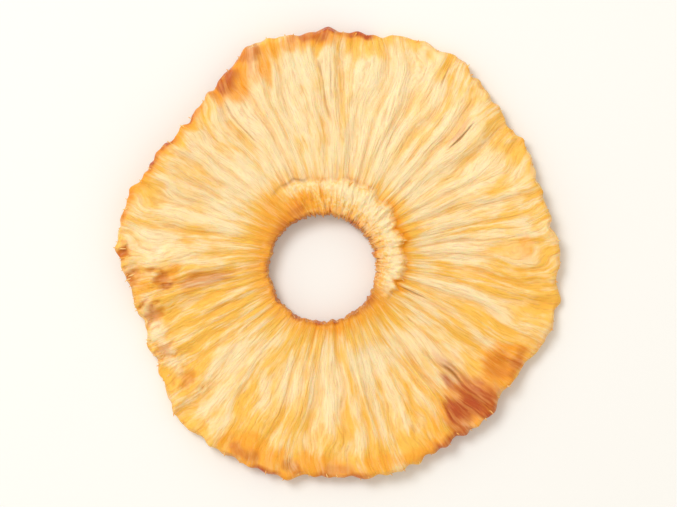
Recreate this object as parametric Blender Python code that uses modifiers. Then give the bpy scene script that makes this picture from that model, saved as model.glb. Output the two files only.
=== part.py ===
"""A dried pineapple ring: one peeled, cored and dried slice.

Ribs of fibre run out from the hole, a crescent of tougher core stands up at one side of it, and the rim is
crinkled where the peel was cut away. Metres, +Z up. The ring lies on z = 0 and its origin is under the middle
of its box. Angles are in degrees, anticlockwise from +X as seen from above.
"""

import math

import bpy
from mathutils import Vector, noise

# The slice as it is turned, before it dries
RING_RADIUS = 0.0424
CORE_RADIUS = 0.0134
HOLE_RADIUS = 0.0101
THICKNESS = 0.0033
RIM_ROUNDING = 0.0006
WALL_SLOPE = 0.0006
TURN_STEPS = 256

# Where the section has points, as shares of the way across the core and of the way across the flesh
CORE_TOP_SHARES = (0.0, 0.4, 0.84)
FLESH_TOP_SHARES = (0.0, 0.05, 0.15, 0.28, 0.42, 0.56, 0.70, 0.83, 0.93)
FLESH_UNDER_SHARES = (0.95, 0.74, 0.50, 0.25, 0.0)

# The outline: each straight pass of the peeling knife, as its direction and its distance from the middle
PEEL_CUTS = (
    (17, 0.0394),
    (35, 0.0398),
    (82, 0.0408),
    (102, 0.0404),
    (141, 0.0362),
    (167, 0.0390),
    (200, 0.0370),
    (229, 0.0411),
    (248, 0.0410),
    (272, 0.0400),
    (299, 0.0399),
    (322, 0.0395),
    (358, 0.0411),
)
CUT_CORNER_ROUNDING = 0.0002
SCALLOP_DEPTH = 0.0008
SCALLOP_COUNT = 62

# The corer went in beside the middle, so the core that is left is a crescent
HOLE_CENTRE = (-0.0021, -0.0023)
CORE_CENTRE = (-0.0004, 0.0004)
HOLE_RAGGEDNESS = 0.0003
LEAST_CORE_WIDTH = 0.0011
CORE_RISE = 0.0012
CORE_MIDDLE_ANGLE = 47
CORE_FULL_HALF_SPAN = 70
CORE_FADE_SPAN = 24

# Fibre ribs, deepest near the rim
RIB_COUNT = 44
RIB_HEIGHT = 0.0009
RIB_LEAN = 0.10
FINE_RIB_COUNT = 80
FINE_RIB_HEIGHT = 0.0003
RIM_CRINKLE = 0.0008

# The slow buckling that drying leaves: waves a turn, height at the rim, direction of the first crest
BUCKLES = ((2, 0.0011, 140), (3, 0.0009, 30), (5, 0.0004, 95), (8, 0.0003, 10))
DISHING = 0.0005

# How the buckled slice leans when it is put down on three of its ribs, and how far those are pressed flat
LEAN = (0.0138, -0.0084)
BEDDING = 0.0005

# A fold in the flesh, with its high side before this angle and its hollow after it
FOLD_ANGLE = 186
FOLD_REACH = (0.016, 0.0315)
FOLD_HEIGHT = 0.0008
FOLD_WIDTH = 2.6

# Cracks between fibres: direction, inner end, outer end, depth
CRACKS = (
    (42.7, 0.029, 0.035, 0.0007),
    (124.0, 0.024, 0.034, 0.0005),
    (316.5, 0.025, 0.032, 0.0006),
    (335.0, 0.0143, 0.0175, 0.0005),
)
CRACK_WIDTH = 0.8

# Pockets left by the fruit's eyes, near the rim
EYE_POCKETS = (
    (-0.0373, -0.0042),
    (-0.0312, -0.0042),
    (-0.0327, -0.0108),
    (-0.0308, -0.0173),
    (-0.0265, -0.0223),
)
POCKET_RADIUS = 0.0017
POCKET_DEPTH = 0.0008

FLESH_COLOUR = (0.86, 0.58, 0.24, 1.0)
FLESH_ROUGHNESS = 0.62


def blend(start, end, share):
    return start + (end - start) * share


def smooth_step(low, high, value):
    """0 below low, 1 above high, and an even curve between them."""
    share = min(max((value - low) / (high - low), 0.0), 1.0)
    return share * share * (3 - 2 * share)


def turn_from(angle, direction):
    """How far an angle lies from a direction, both in degrees, from -180 to 180."""
    return (angle - direction + 180) % 360 - 180


def around(angle, waves, level):
    """Even noise with about this many waves a turn, closed where the turn ends."""
    turn = math.radians(angle)
    reach = waves / math.pi
    return noise.noise(Vector((reach * math.cos(turn), reach * math.sin(turn), level)))


def soft_least(values, rounding):
    """The least of the values, with the corners between them rounded."""
    least = min(values)
    return least - rounding * math.log(sum(math.exp((least - value) / rounding) for value in values))


def circle_reach(angle, centre, radius):
    """How far from the origin a ray at this angle leaves a circle that surrounds the origin."""
    turn = math.radians(angle)
    along = centre[0] * math.cos(turn) + centre[1] * math.sin(turn)
    across = centre[0] * math.sin(turn) - centre[1] * math.cos(turn)
    return along + math.sqrt(radius * radius - across * across)


def hole_edge(angle):
    ragged = around(angle, 30, 1.5) + 0.6 * around(angle, 60, 2.5)
    return circle_reach(angle, HOLE_CENTRE, HOLE_RADIUS) + HOLE_RAGGEDNESS * ragged


def core_edge(angle):
    core = circle_reach(angle, CORE_CENTRE, CORE_RADIUS) + 0.0004 * around(angle, 9, 3.5)
    return -soft_least((-core, -hole_edge(angle) - LEAST_CORE_WIDTH), 0.0003)


def rim_edge(angle):
    reaches = [RING_RADIUS]
    for direction, distance in PEEL_CUTS:
        turn = turn_from(angle, direction)
        if abs(turn) < 60:
            reaches.append(distance / math.cos(math.radians(turn)))
    scallop = around(angle, SCALLOP_COUNT, 4.5) + 0.5 * around(angle, SCALLOP_COUNT / 3, 5.5)
    return soft_least(reaches, CUT_CORNER_ROUNDING) + SCALLOP_DEPTH * scallop


def core_height(angle, share):
    """The crescent of core: highest near its outer side, with a step down to the flesh."""
    span = abs(turn_from(angle, CORE_MIDDLE_ANGLE))
    present = 1 - smooth_step(CORE_FULL_HALF_SPAN, CORE_FULL_HALF_SPAN + CORE_FADE_SPAN, span)
    swell = 0.6 + 0.4 * smooth_step(0.0, 0.8, share)
    outer_step = 1 - smooth_step(0.84, 1.0, share)
    return CORE_RISE * present * swell * outer_step * (1 + 0.3 * around(angle, 24, 6.5))


def rib_height(angle, share, level):
    """Fibre ribs across the flesh, which lean a little to one side or the other on their way out."""
    leaning = angle + math.degrees(RIB_LEAN) * share * around(angle, 5, 7.5)
    depth = blend(0.45, 1.0, smooth_step(0.0, 0.5, share))
    coarse = RIB_HEIGHT * around(leaning, RIB_COUNT, level + 1.6 * share)
    fine = FINE_RIB_HEIGHT * around(leaning, FINE_RIB_COUNT, level + 9 + 2.5 * share)
    crinkle = RIM_CRINKLE * smooth_step(0.8, 1.0, share) * around(angle, 30, level + 4 + 3 * share)
    return depth * (coarse + fine) + crinkle


def buckle(angle, radius):
    """Height of the slice's middle surface."""
    out = radius / RING_RADIUS
    waves = sum(height * math.cos(math.radians(count * (angle - crest))) for count, height, crest in BUCKLES)
    return waves * out**2.5 + DISHING * out**2


def fold_height(angle, radius):
    turn = turn_from(angle, FOLD_ANGLE)
    inner, outer = FOLD_REACH
    along = smooth_step(inner, inner + 0.005, radius) * (1 - smooth_step(outer - 0.006, outer, radius))
    lip = math.exp(-((turn + 1.5) / FOLD_WIDTH) ** 2)
    hollow = math.exp(-((turn - 3.0) / FOLD_WIDTH) ** 2)
    return FOLD_HEIGHT * along * (0.8 * lip - hollow)


def crack_depth(angle, radius):
    depth = 0.0
    for direction, inner, outer, deepest in CRACKS:
        across = math.exp(-(turn_from(angle, direction) / CRACK_WIDTH) ** 2)
        along = smooth_step(inner - 0.002, inner, radius) * (1 - smooth_step(outer, outer + 0.002, radius))
        depth += deepest * across * along
    return depth


def pocket_depth(x, y):
    return sum(
        POCKET_DEPTH * math.exp(-((x - pocket_x) ** 2 + (y - pocket_y) ** 2) / POCKET_RADIUS**2)
        for pocket_x, pocket_y in EYE_POCKETS
    )


def half_thickness(share):
    """The flesh dries thinner than the core and the rim."""
    return THICKNESS / 2 * (1 - 0.14 * math.sin(math.pi * min(max(share, 0.0), 1.0)))


def dried(point):
    """Where drying takes a point of the turned slice."""
    turned = math.hypot(point.x, point.y)
    angle = math.degrees(math.atan2(point.y, point.x))
    side = point.z / (THICKNESS / 2)
    if turned < HOLE_RADIUS:
        core_share, flesh_share = 0.0, 0.0
        radius = hole_edge(angle) + turned - HOLE_RADIUS
    elif turned < CORE_RADIUS:
        core_share, flesh_share = (turned - HOLE_RADIUS) / (CORE_RADIUS - HOLE_RADIUS), 0.0
        radius = blend(hole_edge(angle), core_edge(angle), core_share)
    else:
        core_share = 1 + (turned - CORE_RADIUS) / CORE_RADIUS
        flesh_share = (turned - CORE_RADIUS) / (RING_RADIUS - CORE_RADIUS)
        radius = blend(core_edge(angle), rim_edge(angle), flesh_share)
    x = radius * math.cos(math.radians(angle))
    y = radius * math.sin(math.radians(angle))
    above = max(side, 0.0)
    below = max(-side, 0.0)
    height = buckle(angle, radius) - LEAN[0] * x - LEAN[1] * y
    height += side * half_thickness(flesh_share) + 0.5 * fold_height(angle, radius)
    height += above * (core_height(angle, core_share) + rib_height(angle, flesh_share, 0.0))
    height += above * (0.5 * fold_height(angle, radius) - crack_depth(angle, radius) - pocket_depth(x, y))
    height -= below * 0.6 * rib_height(angle, flesh_share, 20.0)
    return Vector((x, y, height))


def section_points():
    """The section's points in order: out along the top, down the rim, in along the underside, up the hole."""
    top = THICKNESS / 2
    core_width = CORE_RADIUS - HOLE_RADIUS
    flesh_width = RING_RADIUS - CORE_RADIUS
    points = [(HOLE_RADIUS + share * core_width, top) for share in CORE_TOP_SHARES]
    points += [(CORE_RADIUS + share * flesh_width, top) for share in FLESH_TOP_SHARES]
    points += [(RING_RADIUS - RIM_ROUNDING, 0.75 * top), (RING_RADIUS, 0.0)]
    points += [(RING_RADIUS - RIM_ROUNDING, -0.75 * top)]
    points += [(CORE_RADIUS + share * flesh_width, -top) for share in FLESH_UNDER_SHARES]
    points += [(HOLE_RADIUS - 0.9 * WALL_SLOPE, -0.8 * top), (HOLE_RADIUS - 0.5 * WALL_SLOPE, 0.0)]
    return points


def turned_slice():
    """The slice as a closed section turned about Z."""
    points = section_points()
    count = len(points)
    section = bpy.data.meshes.new("slice_section")
    section.from_pydata(
        [(radius, 0.0, height) for radius, height in points],
        [(index, (index + 1) % count) for index in range(count)],
        [],
    )
    turner = bpy.data.objects.new("slice_section", section)
    bpy.context.scene.collection.objects.link(turner)
    screw = turner.modifiers.new("turn", "SCREW")
    screw.axis = "Z"
    screw.angle = math.tau
    screw.steps = TURN_STEPS
    screw.render_steps = TURN_STEPS
    screw.use_merge_vertices = True
    screw.merge_threshold = 0.00001
    evaluated = turner.evaluated_get(bpy.context.evaluated_depsgraph_get())
    mesh = bpy.data.meshes.new_from_object(evaluated)
    bpy.data.objects.remove(turner)
    bpy.data.meshes.remove(section)
    return mesh


def settle(mesh):
    """Centres the ring over the origin and lets it down until its lowest ribs are pressed flat on z = 0."""
    xs = [vertex.co.x for vertex in mesh.vertices]
    ys = [vertex.co.y for vertex in mesh.vertices]
    lowest = min(vertex.co.z for vertex in mesh.vertices)
    middle = Vector(((min(xs) + max(xs)) / 2, (min(ys) + max(ys)) / 2, lowest + BEDDING))
    for vertex in mesh.vertices:
        vertex.co -= middle
        vertex.co.z = max(vertex.co.z, 0.0)


def flesh_material():
    material = bpy.data.materials.new("dried_pineapple")
    material.use_nodes = True
    surface = material.node_tree.nodes["Principled BSDF"]
    surface.inputs["Base Color"].default_value = FLESH_COLOUR
    surface.inputs["Roughness"].default_value = FLESH_ROUGHNESS
    surface.inputs["Metallic"].default_value = 0.0
    return material


def pineapple_ring():
    mesh = turned_slice()
    mesh.name = "pineapple_ring"
    for vertex in mesh.vertices:
        vertex.co = dried(vertex.co)
    settle(mesh)
    mesh.shade_smooth()
    mesh.materials.append(flesh_material())
    return bpy.data.objects.new("pineapple_ring", mesh)


def main():
    for leftover in list(bpy.data.objects):
        bpy.data.objects.remove(leftover)
    collection = bpy.data.collections.new("dried_pineapple_ring")
    bpy.context.scene.collection.children.link(collection)
    collection.objects.link(pineapple_ring())


main()
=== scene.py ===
"""The looks of a dried pineapple ring.

Fibrous cream and golden flesh, a crescent of core and a crinkled amber rim. Metres, +Z up. Angles are in
degrees, anticlockwise from +X as seen from above. Radii run from the middle of the fruit, which the corer
and the peeling knife missed by a little. Shapes on the slice are given where it was turned from the fruit,
and drying then moves them.
"""

import functools
import math
import random

import bmesh
import bpy
import numpy as np
from mathutils import Matrix, Vector, noise


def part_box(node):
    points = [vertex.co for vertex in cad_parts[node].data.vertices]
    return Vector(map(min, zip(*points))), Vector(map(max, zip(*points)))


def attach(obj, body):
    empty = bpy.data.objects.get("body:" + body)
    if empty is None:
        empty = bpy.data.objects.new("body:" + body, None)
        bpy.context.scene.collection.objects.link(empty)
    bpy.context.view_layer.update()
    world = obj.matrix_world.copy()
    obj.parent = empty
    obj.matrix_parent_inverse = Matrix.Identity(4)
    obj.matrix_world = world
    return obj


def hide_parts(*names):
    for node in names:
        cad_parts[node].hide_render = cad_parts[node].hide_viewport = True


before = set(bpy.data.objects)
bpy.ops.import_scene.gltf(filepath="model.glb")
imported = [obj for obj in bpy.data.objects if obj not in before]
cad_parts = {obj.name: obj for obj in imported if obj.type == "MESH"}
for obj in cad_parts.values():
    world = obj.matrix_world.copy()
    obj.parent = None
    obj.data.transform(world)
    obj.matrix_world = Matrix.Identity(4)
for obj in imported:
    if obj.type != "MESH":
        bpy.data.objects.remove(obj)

NODE = "pineapple_ring"

# The slice as it is turned, before it dries
RING_RADIUS = 0.0424
CORE_RADIUS = 0.0134
HOLE_RADIUS = 0.0101
THICKNESS = 0.0033
RIM_ROUNDING = 0.0012
UNDER_CHAMFER = 0.0004
WALL_SETBACK = 0.00002
WALL_SLOPE = 0.0006

# How many steps the turning takes, and how many points each part of the turned section has
TURN_STEPS = 1200
CORE_TOP_POINTS = 11
FLESH_TOP_POINTS = 42
RIM_POINTS = 9
FLESH_UNDER_POINTS = 11
WALL_POINTS = 6

# Shares of the way out where the wall of the hole ends and the rim begins
WALL_SHARE = 0.12
RIM_SHARE = 0.955

# Above 1, the points on the flesh lie closer together near the core
CROWDING = 1.3

# The outline: each straight pass of the peeling knife, as its direction and its distance from the middle
PEEL_CUTS = (
    (17, 0.0394),
    (35, 0.0398),
    (82, 0.0408),
    (102, 0.0404),
    (141, 0.0362),
    (167, 0.0390),
    (200, 0.0370),
    (229, 0.0411),
    (248, 0.0410),
    (272, 0.0400),
    (299, 0.0399),
    (322, 0.0395),
    (358, 0.0411),
)
CUT_HALF_SPAN = 60
CUT_CORNER_ROUNDING = 0.0002
SCALLOP_DEPTH = 0.0008
SCALLOP_COUNT = 62
RIM_CRAG = 0.0005
RIM_CRAG_COUNT = 56

# The corer went in beside the middle, so the core that is left is a crescent
HOLE_CENTRE = (-0.0021, -0.0023)
CORE_CENTRE = (-0.0004, 0.0004)
HOLE_RAGGEDNESS = 0.0003
HOLE_FRINGE = 0.0005
WALL_CRAG = 0.6 * RIM_CRAG
WALL_CRAG_COUNT = 70
LEAST_CORE_WIDTH = 0.0011
CORE_RISE = 0.0012
CORE_MIDDLE_ANGLE = 47
CORE_FULL_HALF_SPAN = 70
CORE_FADE_SPAN = 24
CORE_GRAIN_SIZE = 0.0008
CORE_GRAIN_HEIGHT = 0.0006

# The crescent's height: its share at the hole, and the shares of its width where it is full and steps down
CORE_INNER_RISE = 0.40
CORE_SHOULDER = 0.60
CORE_STEP = 0.84

# The crescent's outer edge. The lumps are waves a turn, height and noise level, and the corner that stands
# out is direction, half span and reach
CORE_EDGE_SWAY = 0.0004
CORE_EDGE_LUMPS = ((27, 0.0014, 3.9), (64, 0.0004, 4.9))
CORE_EDGE_ROUNDING = 0.0003
CORE_CORNER = (129, 20, 0.0017)

# Fibre ribs, deepest near the rim. By the core they have the inner share of their height, and the core itself
# is flatter still
RIB_COUNT = 44
RIB_HEIGHT = 0.0009
RIB_LEAN = 0.10
FINE_RIB_COUNT = 80
FINE_RIB_HEIGHT = 0.0003
INNER_RIB_SHARE = 0.45
CORE_FLATNESS = 0.8
RIM_CRINKLE = 0.0008
RIM_CRINKLE_COUNT = 30

# The noise levels that the relief of the two faces starts from, and the underside's share of the ribs
TOP_LEVEL = 0.0
UNDER_LEVEL = 20.0
UNDER_RIB_SHARE = 0.6

# Single fibres: how many waves of them a turn near the core and near the rim, and how far they stand up
INNER_FIBRES = 84
OUTER_FIBRES = 150
FIBRE_HEIGHT = 0.00016
GROOVE_WIDTH = 0.13

# How far fibres wander from straight out: waves a turn, changes on the way out, degrees at the rim
WANDERINGS = ((13, 1.4, 6.0), (31, 4.2, 2.0), (70, 8.0, 0.4))

# Painted shade: the finish tints the hollows found here a deeper gold and lightens the crests
# Hollows between fibres and between ribs: steps round that they are looked for in, depth, and share
HOLLOWS = ((5, 0.0001, 0.4), (14, 0.0003, 0.45))

# The pulp between the fibres swells in small soft lumps, and ends in lobes short of the rim
LUMP_SIZE = 0.0017
LUMP_HEIGHT = 0.00022
LOBE_COUNT = 27
LOBE_END = 0.86
LOBE_END_SPREAD = 0.11
LOBE_END_FRAY = 0.05
LOBE_EDGE = 0.02
LOBE_DEPTH = 0.0002

# The slow buckling that drying leaves: waves a turn, height at the rim, direction of a crest
BUCKLES = ((2, 0.0011, 140), (3, 0.0009, 30), (5, 0.0004, 95), (8, 0.0003, 10))
DISHING = 0.0005
LEAN = (0.0138, -0.0084)
BEDDING = 0.0005

# Drying thins the flesh by this share, halfway between the core and the rim
FLESH_SHRINKAGE = 0.14

# A fold in the flesh, with its high side before this angle and its hollow after it
FOLD_ANGLE = 186
FOLD_HALF_SPAN = 12
FOLD_LIP_TURN = -1.5
FOLD_HOLLOW_TURN = 3.0
FOLD_REACH = (0.016, 0.0315)
FOLD_FADES = (0.005, 0.006)
FOLD_HEIGHT = 0.0008
FOLD_LIP_SHARE = 0.8
FOLD_WIDTH = 2.6

# Cracks between fibres: direction, inner end, outer end, depth
CRACKS = (
    (42.7, 0.0296, 0.0335, 0.0006),
    (124.0, 0.026, 0.033, 0.0003),
    (314.8, 0.0248, 0.0264, 0.0002),
    (316.2, 0.0290, 0.0315, 0.0006),
    (317.8, 0.0292, 0.0306, 0.0003),
    (335.0, 0.0143, 0.0172, 0.0004),
    (90.6, 0.026, 0.034, 0.0003),
    (87.5, 0.029, 0.034, 0.0002),
    (5.0, 0.016, 0.030, 0.0002),
    (57.0, 0.037, 0.040, 0.0003),
    (67.6, 0.0275, 0.0300, 0.00025),
    (68.8, 0.0268, 0.0284, 0.0002),
)
CRACK_HALF_WIDTH = 0.00018
CRACK_HALF_SPAN = 4
CRACK_TAPER = 0.002
# The crack depth that takes the darkest painted shade
DEEPEST_CRACK = 0.0007

# Pockets left by the fruit's eyes, near the rim: place, radius and how dark they are
EYE_POCKETS = (
    (-0.0385, 0.0004, 0.0012, 0.7),
    (-0.0373, -0.0042, 0.0015, 0.6),
    (-0.0312, -0.0042, 0.0013, 0.55),
    (-0.0388, -0.0062, 0.0010, 0.5),
    (-0.0327, -0.0108, 0.0016, 0.45),
    (-0.0308, -0.0173, 0.0014, 0.3),
    (-0.0265, -0.0223, 0.0015, 0.35),
)
POCKET_DEPTH = 0.0008
POCKET_RAGGEDNESS = 0.9
POCKET_GRAIN_SIZE = 0.0011
POCKET_LIP = 0.45

# Patches of colour: direction, distance out, half span in degrees, half depth, strength
GOLDEN_PATCHES = (
    (14, 0.0325, 3, 0.0018, 0.6),
    (25, 0.0315, 4.5, 0.0024, 0.5),
    (36, 0.0310, 3, 0.0030, 0.4),
    (53, 0.0340, 2.2, 0.0045, 0.9),
    (60, 0.0300, 3, 0.0030, 0.5),
    (56, 0.0382, 9, 0.0015, 0.8),
    (78, 0.0385, 4.5, 0.0022, 1.0),
    (30, 0.0388, 14, 0.0014, 0.8),
    (84, 0.0280, 3, 0.0070, 0.6),
    (107, 0.0205, 4, 0.0016, 0.8),
    (110, 0.0270, 3.0, 0.0080, 0.3),
    (8, 0.0270, 7, 0.0060, 0.5),
    (133, 0.0345, 7, 0.0014, 0.9),
    (130, 0.0300, 5, 0.0070, 0.6),
    (150, 0.0290, 8, 0.0040, 0.4),
    (155, 0.0360, 18, 0.0024, 0.7),
    (170, 0.0270, 5, 0.0080, 0.4),
    (192, 0.0330, 9, 0.0070, 0.9),
    (205, 0.0270, 15, 0.0090, 0.9),
    (216, 0.0325, 8, 0.0050, 0.8),
    (221, 0.0370, 5, 0.0022, 1.0),
    (241, 0.0320, 5, 0.0055, 0.9),
    (252, 0.0370, 10, 0.0034, 0.9),
    (287, 0.0375, 16, 0.0034, 0.9),
    (306, 0.0335, 6, 0.0030, 0.8),
    (276, 0.0330, 7, 0.0070, 0.5),
    (297, 0.0280, 5, 0.0060, 0.45),
    (326, 0.0300, 6, 0.0085, 0.6),
    (339, 0.0305, 3.5, 0.0060, 0.9),
    (352, 0.0335, 8, 0.0066, 1.0),
    (350, 0.0392, 11, 0.0020, 0.9),
    (337, 0.0388, 7, 0.0018, 0.8),
    (350, 0.0230, 6, 0.0060, 0.75),
    (338, 0.0220, 6, 0.0050, 0.5),
)
AMBER_PATCHES = (
    (127, 0.0108, 26, 0.0018, 1.0),
    (3, 0.0352, 1.6, 0.0014, 0.6),
    (91, 0.0398, 7, 0.0018, 0.9),
    (108, 0.0392, 11, 0.0016, 0.8),
    (121, 0.0370, 11, 0.0034, 1.0),
    (183, 0.0295, 2.5, 0.0014, 0.8),
    (187, 0.0370, 7, 0.0030, 0.6),
    (265, 0.0126, 26, 0.0014, 1.0),
    (248, 0.0382, 8, 0.0024, 0.9),
    (265, 0.0382, 7, 0.0020, 0.8),
    (281, 0.0384, 6, 0.0016, 0.7),
    (298, 0.0390, 10, 0.0014, 0.7),
    (312, 0.0370, 10, 0.0045, 0.9),
    (326, 0.0366, 9, 0.0034, 1.0),
)
BROWN_PATCHES = (
    (44.5, 0.0320, 1.0, 0.0024, 0.4),
    (92, 0.0402, 5, 0.0014, 0.8),
    (122, 0.0376, 6.5, 0.0026, 0.85),
    (115, 0.0396, 5, 0.0012, 0.6),
    (129, 0.0106, 10, 0.0010, 0.5),
    # Painted shadow in the hollow of the fold: this patch and the next
    (188.5, 0.0310, 1.8, 0.0012, 0.8),
    (189.5, 0.0225, 3.6, 0.0060, 0.5),
    (246, 0.0392, 3, 0.0012, 0.5),
    (258, 0.0390, 3, 0.0010, 0.5),
    (269, 0.0388, 3, 0.0008, 0.4),
    (303, 0.0398, 7, 0.0012, 0.9),
    (327, 0.0362, 6, 0.0028, 0.4),
    (314, 0.0382, 8, 0.0038, 1.0),
    (316.5, 0.0350, 4.0, 0.0040, 1.0),
    (311.5, 0.0366, 6, 0.0030, 1.0),
    (331, 0.0385, 6, 0.0012, 0.7),
    (317, 0.0290, 1.2, 0.0030, 0.4),
)
PALE_PATCHES = (
    (1, 0.0225, 5, 0.0026, 0.9),
    (31, 0.0315, 2.6, 0.0036, 0.8),
    (50, 0.0230, 12, 0.0060, 0.35),
    (68, 0.0300, 7, 0.0085, 0.75),
    (71, 0.0385, 3.0, 0.0014, 1.0),
    (98, 0.0345, 5.5, 0.0028, 1.0),
    (104, 0.0285, 6, 0.0060, 0.8),
    (127, 0.0325, 4, 0.0012, 0.8),
    (140, 0.0248, 7, 0.0042, 1.0),
    (156, 0.0220, 10, 0.0028, 1.0),
    (176, 0.0330, 4, 0.0050, 0.6),
    (202, 0.0350, 14, 0.0009, 1.0),
    (229, 0.0290, 7, 0.0070, 0.3),
    (251, 0.0240, 5, 0.0044, 0.6),
    (266, 0.0235, 7, 0.0066, 0.8),
    (286, 0.0205, 6, 0.0026, 0.8),
    (345, 0.0265, 2.4, 0.0068, 0.8),
)

# How much larger than its size a patch is drawn, and in shares of that, where its colour is half as strong
# and where it has ended
PATCH_SPREAD = 1.25
PATCH_EDGE = 0.8
PATCH_END = 1.8

# The raggedness of a patch's edge: waves a turn, changes a metre on the way out, share of its size
PATCH_RAGGEDNESS = ((44, 150, 0.55), (110, 320, 0.35))

# Stretches of rim with a darkened line along them: direction and half span
RIM_LINES = ((150, 24), (90, 12), (262, 24))

# Painted shadows along the core's outer edge: how far beyond the edge they lie, and how wide they are
FOOT_SHADE = (0.0001, 0.0008)
LIP_SHADE = (0.0001, 0.00028)

# The amber glow round the hole: how far beyond the core's edge it is full and ends, and how ragged it is
GLOW_FULL = -0.0012
GLOW_END = 0.0030
GLOW_RAGGEDNESS = 0.0014

# The golden band round the core: how far beyond the core's edge it starts to fade, the nearest that it may
# end, its width, what it gains where no core is left, and how ragged its end is
BAND_START = 0.0004
BAND_LEAST_END = 0.0006
BAND_WIDTH = 0.0052
BAND_GAIN = 0.0022
BAND_RAGGEDNESS = 0.0030

# Stripes along the fibres: how fine they are across, two ways, and along
STREAKS = (15, 15, 4.0)
STRANDS = (55, 55, 5.0)
THREADS = (150, 150, 7.0)
STRIPE_WANDER = (0.016, 0.016, 0.016)
STRIPE_WANDER_SCALE = 260.0
GRAIN_SCALE = 1700.0
FRAY_SHADE_SCALE = 700.0
FIBRE_RELIEF = 0.00018

# How far red, green and blue light spread in the fruit, in shares of the depth, and the depths
LIGHT_SPREAD = (1.0, 0.5, 0.2)
FLESH_LIGHT_DEPTH = 0.0010
FRAY_LIGHT_DEPTH = 0.0005

# Frayed fibres: how many, first and last direction, turned radius, 1 outwards or -1 inwards, half length,
# half width
FRAYED_EDGES = (
    (70, -30, 130, 0.0103, -1, 0.0006, 0.00010),
    (70, 130, 330, 0.0102, -1, 0.0004, 0.00008),
    (60, -35, 125, 0.0130, 1, 0.0009, 0.00014),
    (90, 0, 360, 0.0421, 1, 0.0005, 0.00011),
    (40, 176, 222, 0.0414, 1, 0.0010, 0.00016),
)
FRAY_SEED = 11

# The table top, just under the ring
TABLE_SIZE = 2.0
TABLE_DROP = 0.00005

# The light: even daylight from all round, and a large window
DAYLIGHT_COLOUR = (1.0, 0.95, 0.86, 1.0)
DAYLIGHT_STRENGTH = 0.75
WINDOW_PLACE = (-0.37, 0.37, 0.81)
WINDOW_SIZE = 0.40
WINDOW_POWER = 4.7
WINDOW_COLOUR = (0.97, 0.99, 1.0)

# The camera, whose lens and sensor are in millimetres
CAMERA_HEIGHT = 0.515
LENS = 150.0
SENSOR_WIDTH = 36.0
NEAREST_SEEN = 0.01


def tone(red, green, blue):
    """A screen colour of 0 to 255 as the light that it stands for."""
    shares = (value / 255 for value in (red, green, blue))
    return tuple(s / 12.92 if s <= 0.04045 else ((s + 0.055) / 1.055) ** 2.4 for s in shares) + (1.0,)


CREAM = tone(252, 223, 173)
GOLD = tone(250, 193, 80)
# The deeper gold of the painted shade in the grooves
GROOVE_SHADE_GOLD = tone(234, 166, 48)
THREAD = tone(198, 132, 56)
AMBER = tone(247, 162, 24)
BROWN = tone(186, 78, 24)
# The colour of the painted shade in the cracks and under the core's lip
CRACK_SHADE_BROWN = tone(150, 78, 18)
PALE = tone(255, 233, 192)
FRAY_PALE = tone(250, 206, 134)
FRAY_GOLD = tone(240, 164, 66)
PALE_FLOOR = tone(243, 242, 240)


def blend(start, end, share):
    return start + (end - start) * share


def smooth_step(low, high, value):
    """0 up to low, 1 from high, and an even curve between them. High may also be the lesser."""
    share = min(max((value - low) / (high - low), 0.0), 1.0)
    return share * share * (3 - 2 * share)


def hump(value, middle, width):
    """1 in the middle, and dying away evenly to both sides of it."""
    return math.exp(-(((value - middle) / width) ** 2))


def turn_from(angle, direction):
    """How far an angle lies from a direction, both in degrees, from -180 to 180."""
    return (angle - direction + 180) % 360 - 180


def around(angle, waves, level):
    """Even noise, about this many waves a turn, closed where the turn ends. Each level is a new pattern."""
    turn = math.radians(angle)
    reach = waves / math.pi
    return noise.noise(Vector((reach * math.cos(turn), reach * math.sin(turn), level)))


def soft_least(values, rounding):
    """The least of the values, with the corners between them rounded."""
    least = min(values)
    return least - rounding * math.log(sum(math.exp((least - value) / rounding) for value in values))


def circle_reach(angle, centre, radius):
    """How far from the origin a ray at this angle leaves a circle that surrounds the origin."""
    turn = math.radians(angle)
    along = centre[0] * math.cos(turn) + centre[1] * math.sin(turn)
    across = centre[0] * math.sin(turn) - centre[1] * math.cos(turn)
    return along + math.sqrt(radius * radius - across * across)


@functools.lru_cache(maxsize=None)
def hole_edge(angle):
    """How far out the ragged edge of the hole lies."""
    ragged = around(angle, 30, 1.5) + 0.6 * around(angle, 60, 2.5)
    fringe = core_present(angle) * around(angle, 130, 8.5)
    return circle_reach(angle, HOLE_CENTRE, HOLE_RADIUS) + HOLE_RAGGEDNESS * ragged + HOLE_FRINGE * fringe


@functools.lru_cache(maxsize=None)
def core_edge(angle):
    """How far out the core ends, which is close beyond the hole where no crescent is left."""
    direction, span, reach = CORE_CORNER
    corner = reach * hump(turn_from(angle, direction), 0.0, span)
    core = circle_reach(angle, CORE_CENTRE, CORE_RADIUS) + CORE_EDGE_SWAY * around(angle, 9, 3.5) + corner
    lumpy = core_present(angle) * (1 - 0.6 * smooth_step(50, 90, angle))
    core += lumpy * sum(height * around(angle, waves, level) for waves, height, level in CORE_EDGE_LUMPS)
    return -soft_least((-core, -hole_edge(angle) - LEAST_CORE_WIDTH), CORE_EDGE_ROUNDING)


@functools.lru_cache(maxsize=None)
def rim_edge(angle):
    """How far out the rim lies: as far as the nearest peeling cut, give or take a scallop."""
    reaches = [RING_RADIUS]
    for direction, distance in PEEL_CUTS:
        turn = turn_from(angle, direction)
        if abs(turn) < CUT_HALF_SPAN:
            reaches.append(distance / math.cos(math.radians(turn)))
    scallop = around(angle, SCALLOP_COUNT, 4.5) + 0.5 * around(angle, SCALLOP_COUNT / 3, 5.5)
    return soft_least(reaches, CUT_CORNER_ROUNDING) + SCALLOP_DEPTH * scallop


@functools.lru_cache(maxsize=None)
def core_present(angle):
    """1 where the crescent of core is left, 0 where the corer took all of it."""
    span = abs(turn_from(angle, CORE_MIDDLE_ANGLE))
    return 1 - smooth_step(CORE_FULL_HALF_SPAN, CORE_FULL_HALF_SPAN + CORE_FADE_SPAN, span)


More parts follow.
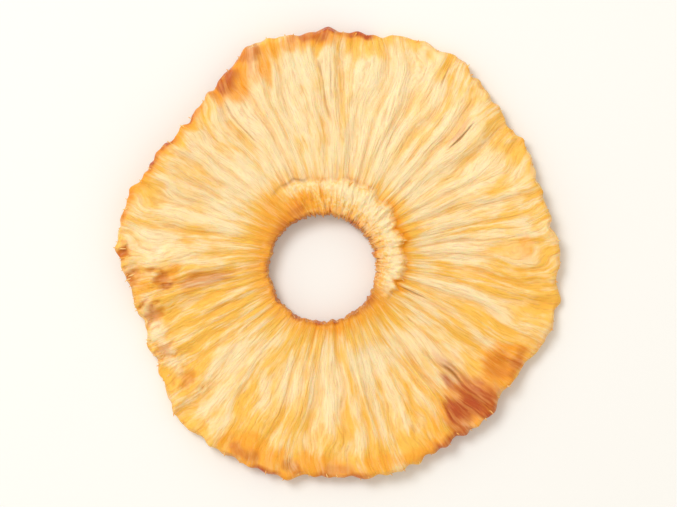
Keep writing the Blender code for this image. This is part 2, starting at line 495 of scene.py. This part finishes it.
class Spot:
    """A point of the turned slice, and where it lies across the dried one."""

    def __init__(self, point):
        turned = math.hypot(point.x, point.y)
        self.angle = round(math.degrees(math.atan2(point.y, point.x)), 3)
        self.side = point.z / (THICKNESS / 2)
        self.above = max(self.side, 0.0)
        self.below = max(-self.side, 0.0)
        if turned < HOLE_RADIUS:
            self.core_share, self.flesh_share = 0.0, 0.0
            self.radius = hole_edge(self.angle) + turned - HOLE_RADIUS
        elif turned < CORE_RADIUS:
            self.core_share, self.flesh_share = (turned - HOLE_RADIUS) / (CORE_RADIUS - HOLE_RADIUS), 0.0
            self.radius = blend(hole_edge(self.angle), core_edge(self.angle), self.core_share)
        else:
            self.core_share = 1 + (turned - CORE_RADIUS) / CORE_RADIUS
            self.flesh_share = (turned - CORE_RADIUS) / (RING_RADIUS - CORE_RADIUS)
            self.radius = blend(core_edge(self.angle), rim_edge(self.angle), self.flesh_share)
        self.at_wall = 1 - smooth_step(0.0, WALL_SHARE, self.core_share)
        self.at_rim = smooth_step(RIM_SHARE, 1.0, self.flesh_share)
        self.radius += self.edge_crag()
        self.x = self.radius * math.cos(math.radians(self.angle))
        self.y = self.radius * math.sin(math.radians(self.angle))
        self.fibre_angle = self.angle + self.sway()

    def edge_crag(self):
        """The rough cut faces at the rim and round the hole."""
        rim = RIM_CRAG * self.at_rim * around(self.angle, RIM_CRAG_COUNT, 31 + 1.3 * self.side)
        wall = WALL_CRAG * self.at_wall * around(self.angle, WALL_CRAG_COUNT, 41 + 0.8 * self.side)
        return rim + wall

    def sway(self):
        """How far the fibres have wandered from straight out, in degrees."""
        lean = math.degrees(RIB_LEAN) * self.flesh_share * around(self.angle, 5, 7.5)
        for waves, changes, width in WANDERINGS:
            level = 17.5 + waves + changes * self.flesh_share
            lean += width * self.flesh_share**0.8 * around(self.angle, waves, level)
        return lean


def core_height(spot):
    """The crescent of core: highest near its outer side, with a step down to the flesh."""
    present = core_present(spot.angle)
    if not present:
        return 0.0
    swell = blend(CORE_INNER_RISE, 1.0, smooth_step(0.0, CORE_SHOULDER, spot.core_share))
    outer_step = 1 - smooth_step(CORE_STEP, 1.0, spot.core_share)
    ribbed = 1 + 0.2 * around(spot.angle, 24, 6.5) + 0.06 * around(spot.angle, 62, 9.5 + spot.core_share)
    grain = noise.noise(Vector((spot.x, spot.y, 0.0)) / CORE_GRAIN_SIZE)
    grain += 0.5 * noise.noise(Vector((spot.x, spot.y, 9.0 * CORE_GRAIN_SIZE)) / (0.5 * CORE_GRAIN_SIZE))
    return present * outer_step * (CORE_RISE * swell * ribbed + CORE_GRAIN_HEIGHT * grain)


def rib_wave(spot, level):
    """The broad ribs, from -1 between them to 1 on top."""
    return around(spot.fibre_angle, RIB_COUNT, level + 1.6 * spot.flesh_share)


def rib_height(spot, level):
    """Fibre ribs across the flesh, which lean a little to one side or the other on their way out."""
    depth = blend(INNER_RIB_SHARE, 1.0, smooth_step(0.0, 0.5, spot.flesh_share))
    depth *= 1 - CORE_FLATNESS * core_at(spot)
    fine = FINE_RIB_HEIGHT * around(spot.fibre_angle, FINE_RIB_COUNT, level + 9 + 2.5 * spot.flesh_share)
    near_rim = smooth_step(0.8, 1.0, spot.flesh_share)
    crinkled = near_rim * around(spot.angle, RIM_CRINKLE_COUNT, level + 4 + 3 * spot.flesh_share)
    return depth * (RIB_HEIGHT * rib_wave(spot, level) + fine) + RIM_CRINKLE * crinkled


def fibre_groove(spot, level):
    """How deep between two fibres a point lies: 0 on top of one and 1 in the groove."""
    out = smooth_step(0.25, 0.6, spot.flesh_share)
    inner = abs(around(spot.fibre_angle, INNER_FIBRES, level + 51 + 3.4 * spot.flesh_share))
    outer = abs(around(spot.fibre_angle, OUTER_FIBRES, level + 61 + 6.4 * spot.flesh_share))
    plain = 0.55 + 0.9 * around(spot.angle, 26, level + 71 + 5 * spot.flesh_share)
    return min(max(plain, 0.1), 1.0) * (1 - min(blend(inner, outer, out) / GROOVE_WIDTH, 1.0) ** 0.7)


def lobe_end(spot):
    """0 on the pulpy lobes, 1 beyond their rounded ends at the rim."""
    end = LOBE_END + LOBE_END_SPREAD * around(spot.angle, LOBE_COUNT, 131.5)
    end += LOBE_END_FRAY * around(spot.angle, 3 * LOBE_COUNT, 133.5)
    return smooth_step(end - LOBE_EDGE, end + LOBE_EDGE, spot.flesh_share)


def lumps(spot):
    """The soft lumps of pulp, from -1 in a dip to 1 on a lump."""
    return noise.noise(Vector((spot.x, spot.y, spot.side * 0.3 * LUMP_SIZE)) / LUMP_SIZE)


def buckle(angle, radius):
    """Height of the slice's middle surface."""
    out = radius / RING_RADIUS
    waves = sum(height * math.cos(math.radians(count * (angle - crest))) for count, height, crest in BUCKLES)
    return waves * out**2.5 + DISHING * out**2


def fold_height(spot):
    """The raised lip of the fold and the hollow behind it."""
    turn = turn_from(spot.angle, FOLD_ANGLE)
    if abs(turn) > FOLD_HALF_SPAN:
        return 0.0
    inner, outer = FOLD_REACH
    inner_fade, outer_fade = FOLD_FADES
    along = smooth_step(inner, inner + inner_fade, spot.radius)
    along *= 1 - smooth_step(outer - outer_fade, outer, spot.radius)
    lip = hump(turn, FOLD_LIP_TURN, FOLD_WIDTH)
    hollow = hump(turn, FOLD_HOLLOW_TURN, FOLD_WIDTH)
    return FOLD_HEIGHT * along * (FOLD_LIP_SHARE * lip - hollow)


def crack_at(spot):
    """The depth of the cracks here, and how dark their painted shade is."""
    depth = 0.0
    dark = 0.0
    for direction, inner, outer, deepest in CRACKS:
        turn = turn_from(spot.fibre_angle, direction)
        if abs(turn) > CRACK_HALF_SPAN:
            continue
        wide = CRACK_HALF_WIDTH * (1 + 1.2 * around(direction, 30, 300 * spot.radius))
        across = hump(math.radians(turn) * spot.radius, 0.0, wide)
        along = smooth_step(inner - CRACK_TAPER, inner, spot.radius)
        along *= 1 - smooth_step(outer, outer + CRACK_TAPER, spot.radius)
        depth += deepest * across * along
        dark = max(dark, across * along * deepest / DEEPEST_CRACK)
    return depth, dark


def pocket_at(spot):
    """How deep in an eye's pocket a point lies, below 0 on the raised lip round it, and how dark it is."""
    deep = 0.0
    dark = 0.0
    for x, y, radius, darkness in EYE_POCKETS:
        away = math.hypot(spot.x - x, spot.y - y) / radius
        if away < 3:
            away *= 1 + POCKET_RAGGEDNESS * noise.noise(Vector((spot.x, spot.y, x)) / POCKET_GRAIN_SIZE)
            hollow = hump(away, 0.0, 1.0)
            deep += hollow - POCKET_LIP * hump(away, 1.5, 0.5)
            dark = max(dark, darkness * min(1.3 * hollow, 1.0))
    return deep, dark


def half_thickness(share):
    """The flesh dries thinner than the core and the rim."""
    return THICKNESS / 2 * (1 - FLESH_SHRINKAGE * math.sin(math.pi * min(max(share, 0.0), 1.0)))


def dried(spot):
    """Where drying takes a point."""
    flesh = smooth_step(0.0, 0.06, spot.flesh_share)
    fold = fold_height(spot)
    height = buckle(spot.angle, spot.radius) - LEAN[0] * spot.x - LEAN[1] * spot.y
    height += spot.side * half_thickness(spot.flesh_share) + 0.5 * fold
    if spot.above:
        relief = core_height(spot) + rib_height(spot, TOP_LEVEL) + 0.5 * fold
        relief += flesh * (LUMP_HEIGHT * lumps(spot) - FIBRE_HEIGHT * fibre_groove(spot, TOP_LEVEL))
        relief -= LOBE_DEPTH * lobe_end(spot)
        relief -= crack_at(spot)[0] + POCKET_DEPTH * pocket_at(spot)[0]
        height += spot.above * relief
    if spot.below:
        relief = UNDER_RIB_SHARE * rib_height(spot, UNDER_LEVEL)
        relief -= FIBRE_HEIGHT * flesh * fibre_groove(spot, UNDER_LEVEL)
        height -= spot.below * relief
    return Vector((spot.x, spot.y, height))


def patched(spot, patches, level, full=0.5):
    """How strongly the nearest of these patches colours a point. Their edges run out along the fibres."""
    strongest = 0.0
    for direction, distance, half_span, half_depth, strength in patches:
        along = (spot.radius - distance) / (PATCH_SPREAD * half_depth)
        if abs(along) > PATCH_END:
            continue
        across = turn_from(spot.fibre_angle, direction) / (PATCH_SPREAD * half_span)
        away = math.hypot(across, along)
        if away > PATCH_END:
            continue
        for waves, changes, width in PATCH_RAGGEDNESS:
            away += width * around(spot.fibre_angle, waves, level + changes * spot.radius)
        strongest = max(strongest, strength * (1 - smooth_step(full, 2 * PATCH_EDGE - full, away)))
    return strongest


def on_rim_line(spot, full):
    """How far the rim is darkened in this direction: 1 over the full share of a line, 0 past its ends."""
    return max(1 - smooth_step(full, 1.0, abs(turn_from(spot.angle, at)) / half) for at, half in RIM_LINES)


def amber_at(spot):
    """Amber of darkened sugar round the hole, along the rim and in patches, and painted shade at the core."""
    bare = 1 - core_present(spot.angle)
    beyond = spot.radius - core_edge(spot.angle)
    glow_end = GLOW_END + GLOW_RAGGEDNESS * around(spot.fibre_angle, 40, 71.5)
    glow = bare * (1 - smooth_step(GLOW_FULL, glow_end, beyond))
    glow *= 1 - 0.7 * hump(turn_from(spot.angle, 120), 0.0, 14) * smooth_step(0.4, 0.7, spot.core_share)
    # Painted shadow at the core's foot, strongest on the side away from the window
    lee_of_window = 1 - 0.7 * smooth_step(40, 70, spot.angle)
    foot = (1 - bare) * lee_of_window * hump(beyond, *FOOT_SHADE) * (0.9 + 0.9 * around(spot.angle, 14, 73.5))
    # Amber on the core's inner slope, deepened towards the top as painted shade where the slope turns from
    # the window
    inside = (1 - bare) * smooth_step(0.5, 0.0, spot.core_share)
    inside *= 0.5 + 0.4 * smooth_step(75, 105, spot.angle)
    inside *= 0.8 + around(spot.angle, 26, 75.5 + spot.core_share)
    line = on_rim_line(spot, 0.6)
    edge = smooth_step(0.965 - 0.050 * line, 0.990, spot.flesh_share) * (0.3 + 0.7 * line)
    patches = patched(spot, AMBER_PATCHES, 81.5)
    # On the hole's wall the amber is partly painted shade
    return max(0.8 * glow, foot, inside, edge, 0.7 * spot.at_wall, patches, pocket_at(spot)[1])


def golden_at(spot):
    """Golden yellow in a band round the hole, beyond the pulpy lobes, to the lower left and in patches."""
    bare = 1 - core_present(spot.angle)
    beyond = spot.radius - core_edge(spot.angle)
    sheltered = 1 - 0.85 * smooth_step(62, 20, abs(turn_from(spot.angle, 95)))
    reach = BAND_WIDTH + BAND_GAIN * bare + BAND_RAGGEDNESS * around(spot.fibre_angle, 34, 93.5)
    end = max(reach * sheltered, BAND_LEAST_END)
    band = sheltered * (1 - smooth_step(BAND_START, end, beyond)) if beyond > 0 else bare
    broad = smooth_step(-0.1, 0.45, around(spot.fibre_angle, 16, 91.5 + 2.0 * spot.flesh_share))
    # Painted shade on the core's inner slope, where it turns from the window
    turned_from_window_shade = 0.6 * core_at(spot) * smooth_step(84, 110, spot.angle)
    turned_from_window_shade *= smooth_step(0.95, 0.6, spot.core_share)
    patches = patched(spot, GOLDEN_PATCHES, 101.5, 0.2)
    # More golden towards the lower left
    golden_to_lower_left = 0.50 * math.cos(math.radians(spot.angle - 222)) * (1 + 1.2 * around(spot.fibre_angle, 12, 95.5))
    return max(0.9 * band, patches, 0.25 * broad, 0.6 * lobe_end(spot), turned_from_window_shade, golden_to_lower_left)


def pale_at(spot):
    """Pale on the core's crest, partly a painted highlight, towards the top of the flesh and in patches."""
    # The core's crest: its own paler colour and a painted highlight, weaker at the upper left
    middle = blend(0.62, 0.78, smooth_step(60, 100, spot.angle))
    crest = hump(spot.core_share, middle, 0.21) * core_present(spot.angle)
    crest *= 1.0 + 0.4 * around(spot.angle, 30, 123.5 + 2 * spot.core_share)
    crest *= 1 - 0.5 * smooth_step(80, 105, spot.angle)
    # Paler towards the top of the flesh
    paler_to_top = 0.4 * math.cos(math.radians(spot.angle - 92)) * (1 + 1.3 * around(spot.fibre_angle, 22, 125.5))
    paler_to_top *= smooth_step(0.04, 0.2, spot.flesh_share) * smooth_step(0.95, 0.75, spot.flesh_share)
    return max(0.75 * crest, patched(spot, PALE_PATCHES, 121.5, 0.2), paler_to_top)


def brown_at(spot):
    """Brown on the wall of the hole, in the darkened lines along the rim, in the pockets and in patches."""
    # On the hole's wall and the bare flesh at its edge, the brown is partly painted shade
    wall = 0.55 * spot.at_wall * (0.8 + around(spot.angle, 12, 141.5))
    bare = 1 - core_present(spot.angle)
    inner = 0.6 * bare * smooth_step(0.6, 0.0, spot.core_share) * (0.8 + 1.2 * around(spot.angle, 22, 145.5))
    line = on_rim_line(spot, 0.7) * smooth_step(0.955, 0.985, spot.flesh_share)
    line *= 0.40 + 1.1 * around(spot.angle, 40, 143.5)
    return max(patched(spot, BROWN_PATCHES, 111.5), pocket_at(spot)[1], wall, inner, line)


def crack_and_lip_shade_at(spot):
    """Painted shade in the cracks, and a fine painted shadow line under the lip of the core."""
    lip = hump(spot.radius - core_edge(spot.angle), *LIP_SHADE)
    lip *= smooth_step(45, 80, spot.angle) * smooth_step(137, 133, spot.angle)
    lip *= 0.15 + 0.65 * smooth_step(103, 115, spot.angle) + 0.7 * around(spot.angle, 12, 151.5)
    return spot.above * max(crack_at(spot)[1], lip, 0.0)


def core_at(spot):
    """1 on the crescent of core, 0 on the flesh."""
    return core_present(spot.angle) * (1 - smooth_step(0.92, 1.02, spot.core_share))


def hollows(shape, spots):
    """How far each point lies below the fibres and ribs beside it, for painted shade: 1 in a groove, -1 on a
    crest.
    """
    heights = np.array([vertex.co.z for vertex in shape.verts]).reshape(TURN_STEPS, -1)
    found = np.zeros_like(heights)
    for reach, depth, weight in HOLLOWS:
        beside = sum(np.roll(heights, step, axis=0) for step in range(-reach, reach + 1)) / (2 * reach + 1)
        found += weight * np.clip((beside - heights) / depth, -1.0, 1.0)
    return [float(value) * spot.side for value, spot in zip(found.ravel(), spots)]


class Value:
    """A number that varies over a surface. Arithmetic on it adds Math nodes."""

    def __init__(self, finish, socket):
        self.finish = finish
        self.socket = socket

    def __add__(self, other):
        return self.finish.maths("ADD", self, other)

    def __sub__(self, other):
        return self.finish.maths("SUBTRACT", self, other)

    def __rsub__(self, other):
        return self.finish.maths("SUBTRACT", other, self)

    def __mul__(self, other):
        return self.finish.maths("MULTIPLY", self, other)

    __radd__ = __add__
    __rmul__ = __mul__


class Finish:
    """A material in the making."""

    def __init__(self, name):
        self.material = bpy.data.materials.new(name)
        self.material.use_nodes = True
        self.tree = self.material.node_tree
        self.surface = self.tree.nodes["Principled BSDF"]

    def feed(self, socket, value):
        if isinstance(value, Value):
            value = value.socket
        if isinstance(value, bpy.types.NodeSocket):
            self.tree.links.new(value, socket)
        else:
            socket.default_value = value

    def node(self, kind, settings, inputs):
        """Adds a node: its settings first, then the values or links of its sockets."""
        made = self.tree.nodes.new("ShaderNode" + kind)
        for name, value in settings.items():
            setattr(made, name, value)
        for name, value in inputs.items():
            self.feed(made.inputs[name], value)
        return made

    def set(self, name, value):
        self.feed(self.surface.inputs[name], value)

    def maths(self, operation, first, second):
        return Value(self, self.node("Math", {"operation": operation}, {0: first, 1: second}).outputs[0])

    def mix(self, share, first, second):
        """A colour between two others."""
        return self.node("Mix", {"data_type": "RGBA"}, {0: share, 6: first, 7: second}).outputs[2]

    def eased(self, value, low, high):
        """0 where the value is below low, 1 where it is above high, and an even curve between."""
        settings = {"interpolation_type": "SMOOTHSTEP"}
        return Value(self, self.node("MapRange", settings, {0: value, 1: low, 2: high}).outputs[0])

    def painted(self, name):
        """A number painted on the piece's points."""
        return Value(self, self.node("Attribute", {"attribute_name": name}, {}).outputs["Fac"])

    def along_fibres(self):
        return self.node("Attribute", {"attribute_name": "fibre"}, {}).outputs["Vector"]

    def place(self):
        return self.node("TexCoord", {}, {}).outputs["Object"]

    def stretched(self, vector, factors):
        return self.node("VectorMath", {"operation": "MULTIPLY"}, {0: vector, 1: factors}).outputs[0]

    def cloudy(self, vector, scale, detail):
        inputs = {"Vector": vector, "Scale": scale, "Detail": detail, "Roughness": 0.55}
        return Value(self, self.node("TexNoise", {}, inputs).outputs[0])

    def bump(self, height, distance):
        inputs = {"Strength": 1.0, "Distance": distance, "Height": height}
        return self.node("Bump", {}, inputs).outputs["Normal"]


def flesh_finish():
    """Cream to golden flesh, striped along its fibres and shaded by the numbers painted on its points."""
    finish = Finish("fibrous_flesh")
    place = finish.place()
    inputs = {"Vector": place, "Scale": STRIPE_WANDER_SCALE, "Detail": 2.0}
    wander = finish.node("TexNoise", {}, inputs).outputs["Color"]
    wander = finish.node("VectorMath", {"operation": "SUBTRACT"}, {0: wander, 1: (0.5, 0.5, 0.5)}).outputs[0]
    inputs = {0: wander, 1: STRIPE_WANDER, 2: finish.along_fibres()}
    fibre = finish.node("VectorMath", {"operation": "MULTIPLY_ADD"}, inputs).outputs[0]
    streak = finish.eased(finish.cloudy(finish.stretched(fibre, STREAKS), 1.0, 3), 0.38, 0.64)
    strand = finish.eased(finish.cloudy(finish.stretched(fibre, STRANDS), 1.0, 3), 0.36, 0.64)
    thread = finish.cloudy(finish.stretched(fibre, THREADS), 1.0, 2)
    line = finish.eased(thread, 0.48, 0.36)
    grain = finish.cloudy(place, GRAIN_SCALE, 2)
    core = finish.painted("core")
    groove = finish.painted("groove")
    amber = finish.painted("amber")
    brown = finish.painted("brown")
    pale = finish.painted("pale")

    # Painted shade in the grooves and lighter crests, from the hollows painted on the points
    groove_shade = finish.eased(groove, 0.0, 1.0)
    fibrous = 0.51 * streak + 0.11 * strand + 0.09 * groove - 0.03
    granular = finish.eased(grain, 0.42, 0.60)
    speckle = strand * (1.0 - core) + granular * core
    gold = fibrous * (1.0 - core) + core * (0.18 + 0.48 * granular)
    # Golden, which on the core's inner slope is partly painted shade
    gold = gold + finish.painted("golden") * (0.42 + 0.46 * strand) - 0.35 * pale
    colour = finish.mix(finish.eased(gold, 0.0, 1.0), CREAM, GOLD)
    # Pale, which on the core's crest is partly a painted highlight
    colour = finish.mix(pale * (0.33 + 0.38 * speckle), colour, PALE)
    # Painted shade: a deeper gold in the grooves
    colour = finish.mix(0.30 * groove_shade * (1.0 - 0.75 * core), colour, GROOVE_SHADE_GOLD)
    colour = finish.mix(0.25 * line * (1.0 - 0.75 * core), colour, THREAD)
    # Amber, which at the core's foot, on its inner slope and on the hole's wall is partly painted shade
    colour = finish.mix(amber * (0.7 + 0.15 * strand + 0.15 * line), colour, AMBER)
    # Brown, which on the hole's wall and in the fold's hollow is partly painted shade
    colour = finish.mix(brown * (0.65 + 0.35 * strand), colour, BROWN)
    # Painted shade in the cracks and a painted shadow under the core's lip
    colour = finish.mix(finish.painted("dark") * 0.75, colour, CRACK_SHADE_BROWN)
    finish.set("Base Color", colour)

    finish.set("Roughness", 0.60 - 0.10 * strand - 0.18 * brown)
    finish.set("Specular IOR Level", 0.35)
    finish.set("Subsurface Weight", 0.5)
    finish.set("Subsurface Radius", LIGHT_SPREAD)
    finish.set("Subsurface Scale", FLESH_LIGHT_DEPTH)
    relief = (0.6 * thread + 0.5 * strand) * (1.0 - 0.8 * core) + grain * (0.5 + 0.6 * core)
    finish.set("Normal", finish.bump(relief, FIBRE_RELIEF))
    return finish.material


def fibre_end_finish():
    """Frayed fibres, from pale to golden."""
    finish = Finish("frayed_fibre")
    shade = finish.eased(finish.cloudy(finish.place(), FRAY_SHADE_SCALE, 2), 0.35, 0.65)
    finish.set("Base Color", finish.mix(shade, FRAY_PALE, FRAY_GOLD))
    finish.set("Roughness", 0.55)
    finish.set("Subsurface Weight", 0.3)
    finish.set("Subsurface Radius", LIGHT_SPREAD)
    finish.set("Subsurface Scale", FRAY_LIGHT_DEPTH)
    return finish.material


def even(first, last, count):
    """Evenly spaced numbers from first up to, but without, last."""
    return [blend(first, last, index / count) for index in range(count)]


def section_points():
    """The section's points in order: out along the top, down the rim, in along the underside, up the hole."""
    top = THICKNESS / 2
    straight = RING_RADIUS - RIM_ROUNDING
    points = [(radius, top) for radius in even(HOLE_RADIUS, CORE_RADIUS, CORE_TOP_POINTS)]
    shares = [share**CROWDING for share in even(0.0, 1.0, FLESH_TOP_POINTS)]
    points += [(blend(CORE_RADIUS, straight, share), top) for share in shares]
    for turn in even(math.pi / 2, -math.pi / 2, RIM_POINTS):
        points.append((straight + RIM_ROUNDING * math.cos(turn), top * math.sin(turn)))
    points += [(radius, -top) for radius in even(straight, HOLE_RADIUS + UNDER_CHAMFER, FLESH_UNDER_POINTS)]
    for height in even(-0.9 * top, 0.97 * top, WALL_POINTS):
        slope = 0.5 - 0.5 * height / top
        points.append((HOLE_RADIUS - WALL_SETBACK - WALL_SLOPE * slope * (1 - 0.3 * slope), height))
    return points


def turned_slice():
    """The slice as a closed section spun about Z."""
    shape = bmesh.new()
    corners = [shape.verts.new((radius, 0.0, height)) for radius, height in section_points()]
    edges = [shape.edges.new((corners[index - 1], corners[index])) for index in range(len(corners))]
    bmesh.ops.spin(
        shape,
        geom=corners + edges,
        cent=(0, 0, 0),
        axis=(0, 0, 1),
        angle=math.tau,
        steps=TURN_STEPS,
        use_merge=True,
    )
    bmesh.ops.remove_doubles(shape, verts=shape.verts, dist=0.000001)
    bmesh.ops.recalc_face_normals(shape, faces=shape.faces)
    return shape


def settle(shape):
    """Lets the ring down until its lowest ribs are pressed flat on z = 0, in the middle of the frame.

    Gives back how far it moved.
    """
    low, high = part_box(NODE)
    xs = [vertex.co.x for vertex in shape.verts]
    ys = [vertex.co.y for vertex in shape.verts]
    lowest = min(vertex.co.z for vertex in shape.verts)
    middle = Vector(((min(xs) + max(xs)) / 2, (min(ys) + max(ys)) / 2, lowest + BEDDING))
    shift = Vector(((low.x + high.x) / 2, (low.y + high.y) / 2, low.z)) - middle
    for vertex in shape.verts:
        vertex.co += shift
        vertex.co.z = max(vertex.co.z, low.z)
    return shift


def paint(shape, name, values):
    """Puts a number on each point of a shape, for a finish to read."""
    layer = shape.verts.layers.float.new(name)
    for vertex, value in zip(shape.verts, values):
        vertex[layer] = value


def piece_from(shape, name, finish):
    """Makes a shape a piece of the part, with its finish. The shape is used up."""
    mesh = bpy.data.meshes.new(name)
    shape.to_mesh(mesh)
    shape.free()
    mesh.shade_smooth()
    mesh.materials.append(finish)
    piece = bpy.data.objects.new(name, mesh)
    bpy.context.scene.collection.objects.link(piece)
    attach(piece, "root")
    return piece


def ring():
    """The whole slice, with the numbers that its finish reads painted on its points."""
    shape = turned_slice()
    spots = [Spot(vertex.co) for vertex in shape.verts]
    for vertex, spot in zip(shape.verts, spots):
        vertex.co = dried(spot)
    shift = settle(shape)
    # Painted shade for the grooves, and lighter crests
    paint(shape, "groove", hollows(shape, spots))
    shades = {
        "amber": amber_at,
        "golden": golden_at,
        "brown": brown_at,
        "pale": pale_at,
        "core": core_at,
        # Painted shade in the cracks and under the core's lip
        "dark": crack_and_lip_shade_at,
    }
    for name, shade_at in shades.items():
        paint(shape, name, [shade_at(spot) for spot in spots])
    layer = shape.verts.layers.float_vector.new("fibre")
    for vertex, spot in zip(shape.verts, spots):
        turn = math.radians(spot.fibre_angle)
        along = spot.flesh_share + 0.1 * spot.side + 0.3 * min(spot.core_share, 1.0)
        vertex[layer] = Vector((math.cos(turn), math.sin(turn), along))
    piece = piece_from(shape, "ring_flesh", flesh_finish())
    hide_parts(NODE)
    return shift


def fibre_end(shape, root, direction, length, width, bend):
    """One frayed fibre: a thin spindle half sunk in the flesh, its free end bent."""
    turn = direction.to_track_quat("Z", "Y").to_matrix().to_4x4()
    stretch = Matrix.Diagonal((width, width, length, 1.0))
    made = bmesh.ops.create_uvsphere(shape, u_segments=5, v_segments=6, radius=1.0, matrix=stretch)
    for vertex in made["verts"]:
        along = vertex.co.z / length
        vertex.co.x += bend * along * along * length
    bmesh.ops.transform(shape, verts=made["verts"], matrix=Matrix.Translation(root) @ turn)


def fibre_ends(shift):
    """Frayed fibres round the hole, over the outer edge of the core and along the rim."""
    shape = bmesh.new()
    chance = random.Random(FRAY_SEED)
    for count, first, last, turned, facing, length, width in FRAYED_EDGES:
        for index in range(count):
            angle = blend(first, last, (index + chance.uniform(-0.4, 0.4)) / count) % 360
            turn = math.radians(angle)
            height = chance.uniform(0.2, 0.95) * THICKNESS / 2
            spot = Spot(Vector((turned * math.cos(turn), turned * math.sin(turn), height)))
            root = dried(spot) + shift
            outwards = Vector((math.cos(turn), math.sin(turn), chance.uniform(-0.35, 0.25)))
            outwards.x *= facing
            outwards.y *= facing
            sideways = chance.uniform(-0.7, 0.7) * Vector((-math.sin(turn), math.cos(turn), 0.0))
            size = chance.uniform(0.6, 1.3)
            fibre_end(shape, root, outwards + sideways, size * length, width, chance.uniform(-0.3, 0.3))
    return piece_from(shape, "fibre_ends", fibre_end_finish())


def floor():
    """The plain pale table top that the ring lies on."""
    shape = bmesh.new()
    bmesh.ops.create_grid(shape, x_segments=1, y_segments=1, size=TABLE_SIZE)
    bmesh.ops.translate(shape, verts=shape.verts, vec=(0, 0, -TABLE_DROP))
    mesh = bpy.data.meshes.new("table_top")
    shape.to_mesh(mesh)
    shape.free()
    finish = Finish("pale_table")
    finish.set("Base Color", PALE_FLOOR)
    finish.set("Roughness", 0.9)
    mesh.materials.append(finish.material)
    table = bpy.data.objects.new("table_top", mesh)
    bpy.context.scene.collection.objects.link(table)


def lamp(name, place, size, power, colour):
    """A square soft light at a place, aimed at the ring."""
    light = bpy.data.lights.new(name, "AREA")
    light.shape = "SQUARE"
    light.size = size
    light.energy = power
    light.color = colour
    holder = bpy.data.objects.new(name, light)
    holder.location = place
    holder.rotation_euler = Vector(place).to_track_quat("Z", "Y").to_euler()
    bpy.context.scene.collection.objects.link(holder)


def studio():
    """Soft daylight from all round, with a large window light from the upper left."""
    world = bpy.data.worlds.new("soft_daylight")
    world.use_nodes = True
    background = world.node_tree.nodes["Background"]
    background.inputs["Color"].default_value = DAYLIGHT_COLOUR
    background.inputs["Strength"].default_value = DAYLIGHT_STRENGTH
    bpy.context.scene.world = world
    lamp("window", WINDOW_PLACE, WINDOW_SIZE, WINDOW_POWER, WINDOW_COLOUR)
    bpy.context.scene.view_settings.view_transform = "Standard"


def camera():
    """Straight down on the ring, close enough for it to fill most of the frame."""
    lens = bpy.data.cameras.new("overhead")
    lens.lens = LENS
    lens.sensor_width = SENSOR_WIDTH
    lens.clip_start = NEAREST_SEEN
    viewer = bpy.data.objects.new("overhead", lens)
    viewer.location = (0.0, 0.0, CAMERA_HEIGHT)
    bpy.context.scene.collection.objects.link(viewer)
    bpy.context.scene.camera = viewer


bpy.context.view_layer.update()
camera()
studio()
floor()
fibre_ends(ring())
